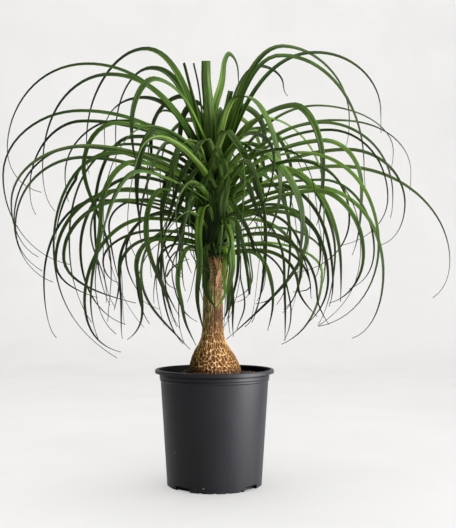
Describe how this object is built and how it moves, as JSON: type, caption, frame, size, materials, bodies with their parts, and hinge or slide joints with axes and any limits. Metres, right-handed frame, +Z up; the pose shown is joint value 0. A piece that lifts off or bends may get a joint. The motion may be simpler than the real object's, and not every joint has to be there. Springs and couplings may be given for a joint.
{
  "type": "potted ponytail palm",
  "caption": "House plant with a swollen woody trunk and a fountain of long, arching, strap-like leaves, growing in a round tapered nursery pot filled with soil.",
  "frame": {"origin": "the middle of the pot's base, on the surface that it stands on", "axes": "+Z up along the pot's axis, -Y towards the side that the plant shows best, +X to the right seen from there"},
  "size_m": [0.8925, 0.8588, 0.8807],
  "materials": {
    "pot": "satin",
    "soil": "matte",
    "bark": "matte",
    "leaf": "satin"
  },
  "bodies": {
    "root": {"nursery_pot": "pot", "potting_soil": "soil", "trunk": "bark", "leaf_crown": "leaf"}
  },
  "joints": []
}
